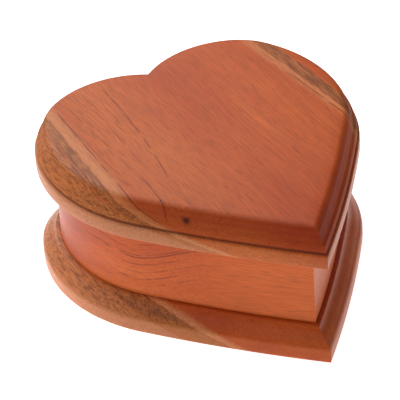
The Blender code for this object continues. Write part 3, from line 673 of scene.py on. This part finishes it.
def make_lining(material):
    """A sheet of felt laid on the compartment's floor, with a soft cut edge and a slightly uneven nap."""
    inset, back = CAVITY_INSET + 0.5, DIVIDER_FRONT - 0.4
    low, top = BASE_TOP + 0.3, BASE_TOP + 1.5
    side = [(x, y) for x, y in heart_half(inset) if y < back]
    rising = [(y, x) for x, y in reversed(heart_half(inset)) if x > 0]
    corner = float(np.interp(back, *zip(*rising)))
    half = [(corner * (1 - k / 14), back) for k in range(13, -1, -1)] + side
    outline = np.array([(-x, y) for x, y in half[:-1]] + [(x, y) for x, y in reversed(half)])
    middle = np.array((0.0, -22.0))
    rings = [(1.0, low + 0.05), (1.0, top - 0.45), (0.992, top - 0.15), (0.975, top)]
    rings += [(0.95 - 0.9 * k / 22, top) for k in range(23)]
    loops = [[(x, y, low) for x, y in middle + 0.985 * (outline - middle)]]
    for scale, z in rings:
        loop = []
        for x, y in middle + scale * (outline - middle):
            ripple = 0.09 * np.sin(x / 6.1 + 0.4 * y / 5.0) * np.cos(y / 7.3) if scale < 0.96 else 0.0
            loop.append((x, y, z - 0.1 * (scale < 0.96) + ripple))
        loops.append(loop)
    bm = bmesh.new()
    rows = [[bm.verts.new(Vector(p) * MM) for p in loop] for loop in loops]
    for inner, outer in zip(rows, rows[1:]):
        for i in range(len(inner)):
            j = (i + 1) % len(inner)
            bm.faces.new((inner[i], inner[j], outer[j], outer[i]))
    bm.faces.new(rows[0])
    bm.faces.new(rows[-1])
    bmesh.ops.recalc_face_normals(bm, faces=bm.faces)
    lining = new_object("felt_lining", bm, material, smooth=60)
    x, y = outline.T
    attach(lining, "root")
    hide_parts("compartment_lining")


# ---------------------------------------------------------------- the stage


def toward(azimuth, elevation):
    """The direction from the box to a place round it. Azimuth 0 is in front, and 90 degrees to the right."""
    across = np.cos(elevation)
    return Vector((np.sin(azimuth) * across, -np.cos(azimuth) * across, np.sin(elevation)))


def make_camera():
    """Looks from the front left and above, from far off through a long lens."""
    azimuth, elevation, roll = np.radians((CAMERA_AZIMUTH, CAMERA_ELEVATION, CAMERA_ROLL))
    back = toward(azimuth, elevation)
    right = Vector((np.cos(azimuth), np.sin(azimuth), 0))
    up = back.cross(right)
    turned_right = right * np.cos(roll) + up * np.sin(roll)
    turned_up = up * np.cos(roll) - right * np.sin(roll)
    data = bpy.data.cameras.new("camera")
    data.lens = CAMERA_LENS
    data.shift_x, data.shift_y = CAMERA_SHIFT
    data.clip_end = 20
    camera = bpy.data.objects.new("camera", data)
    place = Matrix((turned_right, turned_up, back)).transposed().to_4x4()
    place.translation = Vector(CAMERA_TARGET) * MM + back * CAMERA_DISTANCE_M
    camera.matrix_world = place
    bpy.context.scene.collection.objects.link(camera)
    bpy.context.scene.camera = camera


def area_light(name, azimuth, elevation, distance, size, power):
    """A soft square light aimed at the box, from a direction in degrees."""
    away = toward(*np.radians((azimuth, elevation)))
    data = bpy.data.lights.new(name, "AREA")
    data.shape = "SQUARE"
    data.size = size
    data.energy = power
    light = bpy.data.objects.new(name, data)
    light.location = away * distance + Vector((0, 0, 0.04))
    light.rotation_euler = away.to_track_quat("Z", "Y").to_euler()
    bpy.context.scene.collection.objects.link(light)


def make_world():
    """A dark room with one bright patch, above the box, behind it and to its left, that fades out softly."""
    world = bpy.data.worlds.new("studio")
    bpy.context.scene.world = world
    world.use_nodes = True
    tree = world.node_tree
    direction = tree.nodes.new("ShaderNodeTexCoord")
    facing = tree.nodes.new("ShaderNodeVectorMath")
    facing.operation = "DOT_PRODUCT"
    facing.inputs[1].default_value = Vector(BRIGHT_PATCH).normalized()
    tree.links.new(direction.outputs["Generated"], facing.inputs[0])
    level = facing.outputs["Value"]
    steps = (("MAXIMUM", (0.0,)), ("POWER", (BRIGHT_FALLOFF,)), ("MULTIPLY_ADD", (BRIGHT_LEVEL, DARK_LEVEL)))
    for operation, numbers in steps:
        made = tree.nodes.new("ShaderNodeMath")
        made.operation = operation
        for socket, number in zip(made.inputs[1:], numbers):
            socket.default_value = number
        tree.links.new(level, made.inputs[0])
        level = made.outputs[0]
    background = tree.nodes["Background"]
    background.inputs["Color"].default_value = (1, 1, 1, 1)
    tree.links.new(level, background.inputs["Strength"])


def make_floor():
    """A white table that glows, so that its light fills in the sides of the box. It darkens far away."""
    bm = bmesh.new()
    bmesh.ops.create_grid(bm, x_segments=1, y_segments=1, size=3.0)
    floor = new_object("floor", bm, None)
    n = Nodes("floor")
    place = n.node("ShaderNodeTexCoord").outputs["Object"]
    far = n.node("ShaderNodeVectorMath", operation="LENGTH")
    n.put(far.inputs[0], place)
    near = n.step(far.outputs["Value"], 1.1, 0.4)
    pale = n.mix(near, (0.35, 0.35, 0.35), (0.85, 0.85, 0.85))
    n.set(Base_Color=pale, Roughness=0.9)
    n.set(Emission_Color=(1.0, 1.0, 1.0, 1), Emission_Strength=n.times(near, FLOOR_GLOW))
    floor.data.materials.append(n.material)
    floor.location.z = -0.0002


def make_stage():
    bpy.context.scene.view_settings.view_transform = "Standard"
    make_world()
    make_floor()
    area_light("back", 172, 38, 0.5, 0.35, 0.5)


def main():
    brass = metal("polished_brass", rgb(214, 172, 96), 0.26)
    steel = metal("ground_steel", rgb(176, 178, 182), 0.3, brushed=0.6)
    blued = metal("blued_steel", rgb(70, 78, 96), 0.3, brushed=0.4)
    plated = metal("plated_steel", rgb(206, 206, 210), 0.18)
    zinc = cast("cast_zinc", rgb(168, 168, 170))
    looks = {
        "wood": plain_wood(),
        "felt": felt("red_felt", rgb(126, 22, 34)),
        "acrylic": acrylic("clear_acrylic"),
        "brass": brass,
        "steel": steel,
        "spring_steel": blued,
        "plated_steel": plated,
        "cast_metal": zinc,
        "white_plastic": plastic("white_plastic", rgb(226, 224, 216)),
    }
    for part in frame["record"]["subparts"]:
        node = frame["nodes"][part["node"]]
        node.data.materials.clear()
        node.data.materials.append(looks[part["material_slot"]])
    make_lid(lid_wood())
    make_body(body_wood())
    make_base(base_wood())
    make_lining(looks["felt"])
    make_camera()
    make_stage()


main()
